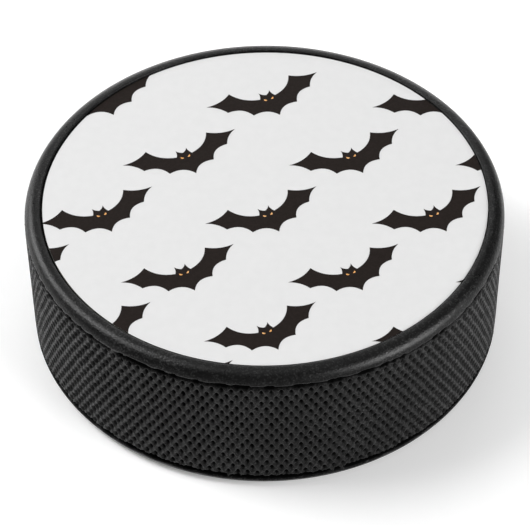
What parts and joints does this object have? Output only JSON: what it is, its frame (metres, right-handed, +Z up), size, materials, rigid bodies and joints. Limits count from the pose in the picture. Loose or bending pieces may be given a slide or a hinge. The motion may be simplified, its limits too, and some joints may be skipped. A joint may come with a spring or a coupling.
{
  "type": "ice hockey puck",
  "caption": "Round black rubber ice hockey puck with a diamond-knurled edge, rounded rims and a white label set in its top face, printed with a repeated flying bat.",
  "frame": {"origin": "centre of the underside, on the surface that the puck lies on", "axes": "+Z up through the puck's thickness, +X and +Y across the flat faces, with +Y towards the top of the print"},
  "size_m": [0.0762, 0.0762, 0.0254],
  "materials": {
    "rubber": "matt vulcanised rubber with a satin rim",
    "adhesive": "cured acrylic adhesive",
    "film": "matt white printable film",
    "black_ink": "matt brownish black ink",
    "orange_ink": "matt orange ink"
  },
  "bodies": {
    "root": {"rubber_body": "rubber", "label_adhesive": "adhesive", "label_film": "film", "bat_prints": "black_ink", "eye_prints": "orange_ink"}
  },
  "joints": []
}
